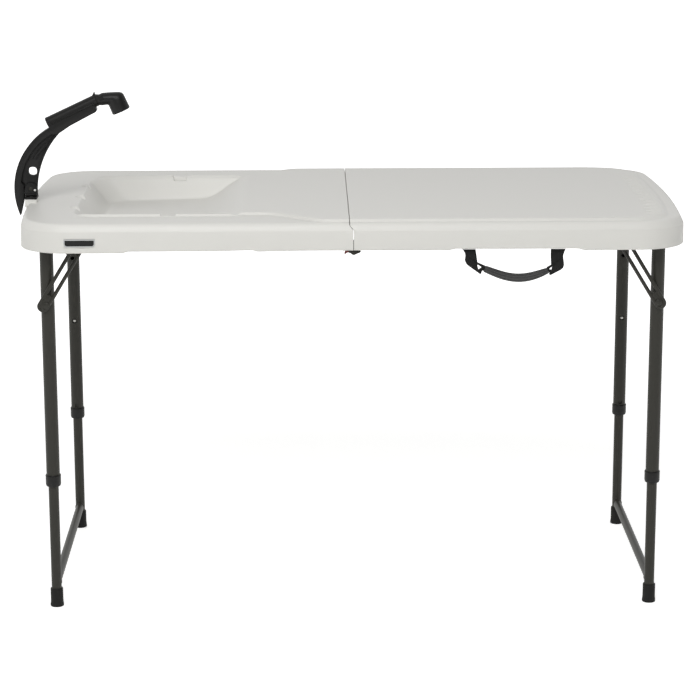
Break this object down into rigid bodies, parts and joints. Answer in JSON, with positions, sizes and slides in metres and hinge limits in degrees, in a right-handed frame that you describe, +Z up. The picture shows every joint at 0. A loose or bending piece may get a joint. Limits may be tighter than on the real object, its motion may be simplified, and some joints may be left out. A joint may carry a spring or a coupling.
{
  "type": "folding fish cleaning table",
  "caption": "Folding table for cleaning fish, with a sink and ramp moulded into one half, a swing-down tap arm, and folding telescoping steel leg frames.",
  "frame": {"origin": "on the floor, under the middle of the whole outline, tap arm included", "axes": "+X along the table to the plain half, +Y to the back, +Z up"},
  "size_m": [1.25, 0.616, 0.9479],
  "materials": {
    "top_plastic": "blow-moulded polyethylene, fine matt grain",
    "leg_steel": "dark bronze powder coat, satin",
    "bright_steel": "zinc-plated steel",
    "black_plastic": "moulded nylon, satin",
    "rubber": "soft moulded rubber, matt",
    "webbing": "woven polypropylene webbing",
    "red_plastic": "moulded, satin"
  },
  "bodies": {
    "base": {"left_top": "top_plastic", "left_front_rail": "leg_steel", "left_back_rail": "leg_steel", "front_hinge_pin": "bright_steel", "back_hinge_pin": "bright_steel", "latch_pin": "bright_steel", "drain_fitting": "black_plastic", "drain_nut": "black_plastic", "tap_bracket": "black_plastic", "arm_pin": "leg_steel"},
    "right_half": {"right_top": "top_plastic", "right_front_rail": "leg_steel", "right_back_rail": "leg_steel", "left_strap_anchor": "webbing", "right_strap_anchor": "webbing"},
    "left_legs": {"left_pivot_rod": "leg_steel", "left_front_upper_tube": "leg_steel", "left_back_upper_tube": "leg_steel", "left_front_collar": "black_plastic", "left_back_collar": "black_plastic", "left_front_rivet": "leg_steel", "left_back_rivet": "leg_steel"},
    "left_lower_legs": {"left_front_lower_tube": "leg_steel", "left_back_lower_tube": "leg_steel", "left_crossbar": "leg_steel", "left_front_foot": "rubber", "left_back_foot": "rubber"},
    "left_braces": {"left_front_brace": "leg_steel", "left_back_brace": "leg_steel"},
    "left_front_button": {"left_front_button": "bright_steel"},
    "left_back_button": {"left_back_button": "bright_steel"},
    "right_legs": {"right_pivot_rod": "leg_steel", "right_front_upper_tube": "leg_steel", "right_back_upper_tube": "leg_steel", "right_front_collar": "black_plastic", "right_back_collar": "black_plastic", "right_front_rivet": "leg_steel", "right_back_rivet": "leg_steel"},
    "right_lower_legs": {"right_front_lower_tube": "leg_steel", "right_back_lower_tube": "leg_steel", "right_crossbar": "leg_steel", "right_front_foot": "rubber", "right_back_foot": "rubber"},
    "right_braces": {"right_front_brace": "leg_steel", "right_back_brace": "leg_steel"},
    "right_front_button": {"right_front_button": "bright_steel"},
    "right_back_button": {"right_back_button": "bright_steel"},
    "tap_arm": {"tap_arm": "black_plastic", "tap_tube": "black_plastic"},
    "tap_head": {"tap_head": "black_plastic", "spray_face": "bright_steel"},
    "thumb_lever": {"thumb_lever": "black_plastic"},
    "handle": {"left_handle_strap": "webbing", "right_handle_strap": "webbing", "handle_grip": "rubber"},
    "latch": {"latch_lever": "black_plastic", "latch_grip": "red_plastic"},
    "plug": {"drain_plug": "rubber"}
  },
  "joints": [
    {"name": "top_fold", "type": "hinge", "parent": "base", "child": "right_half", "pos_m": [0.009, 0, 0.691], "axis": [0, 1, 0], "range_deg": [0, 75]},
    {"name": "left_leg_fold", "type": "hinge", "parent": "base", "child": "left_legs", "pos_m": [-0.55, 0, 0.7065], "axis": [0, -1, 0], "range_deg": [0, 90]},
    {"name": "left_brace_fold", "type": "hinge", "parent": "left_legs", "child": "left_braces", "pos_m": [-0.55, 0, 0.583], "axis": [0, -1, 0], "range_deg": [-149, 0]},
    {"name": "left_leg_height", "type": "slide", "parent": "left_legs", "child": "left_lower_legs", "axis": [0, 0, 1], "range_m": [-0.178, 0.178]},
    {"name": "left_front_button_press", "type": "slide", "parent": "left_lower_legs", "child": "left_front_button", "axis": [0, 1, 0], "range_m": [0, 0.005], "stiffness_N_per_m": 400, "springref_m": 0.007},
    {"name": "left_back_button_press", "type": "slide", "parent": "left_lower_legs", "child": "left_back_button", "axis": [0, -1, 0], "range_m": [0, 0.005], "stiffness_N_per_m": 400, "springref_m": 0.007},
    {"name": "right_leg_fold", "type": "hinge", "parent": "right_half", "child": "right_legs", "pos_m": [0.568, 0, 0.7065], "axis": [0, 1, 0], "range_deg": [0, 90]},
    {"name": "right_brace_fold", "type": "hinge", "parent": "right_legs", "child": "right_braces", "pos_m": [0.568, 0, 0.583], "axis": [0, 1, 0], "range_deg": [-149, 0]},
    {"name": "right_leg_height", "type": "slide", "parent": "right_legs", "child": "right_lower_legs", "axis": [0, 0, 1], "range_m": [-0.178, 0.178]},
    {"name": "right_front_button_press", "type": "slide", "parent": "right_lower_legs", "child": "right_front_button", "axis": [0, 1, 0], "range_m": [0, 0.005], "stiffness_N_per_m": 400, "springref_m": 0.007},
    {"name": "right_back_button_press", "type": "slide", "parent": "right_lower_legs", "child": "right_back_button", "axis": [0, -1, 0], "range_m": [0, 0.005], "stiffness_N_per_m": 400, "springref_m": 0.007},
    {"name": "arm_fold", "type": "hinge", "parent": "base", "child": "tap_arm", "pos_m": [-0.594, -0.065, 0.7665], "axis": [0, 1, 0], "range_deg": [0, 50]},
    {"name": "head_swivel", "type": "hinge", "parent": "tap_arm", "child": "tap_head", "pos_m": [-0.46207, -0.065, 0.92948], "axis": [0.9164, 0, 0.4003], "range_deg": [-60, 60]},
    {"name": "thumb_lever_press", "type": "hinge", "parent": "tap_arm", "child": "thumb_lever", "pos_m": [-0.47095, -0.065, 0.94131], "axis": [0, -1, 0], "range_deg": [0, 18]},
    {"name": "handle_swing", "type": "hinge", "parent": "right_half", "child": "handle", "pos_m": [0.297, -0.2957, 0.689], "axis": [-1, 0, 0], "range_deg": [-40, 90]},
    {"name": "latch_turn", "type": "hinge", "parent": "base", "child": "latch", "pos_m": [-0.007, -0.272, 0.6945], "axis": [0, 1, 0], "range_deg": [0, 28]},
    {"name": "plug_lift", "type": "slide", "parent": "base", "child": "plug", "axis": [0, 0, 1], "range_m": [0, 0.04]}
  ],
  "couplings": [
    {"joint": "left_brace_fold", "follows": "left_leg_fold", "ratio": -1.6503},
    {"joint": "right_brace_fold", "follows": "right_leg_fold", "ratio": -1.6503}
  ]
}
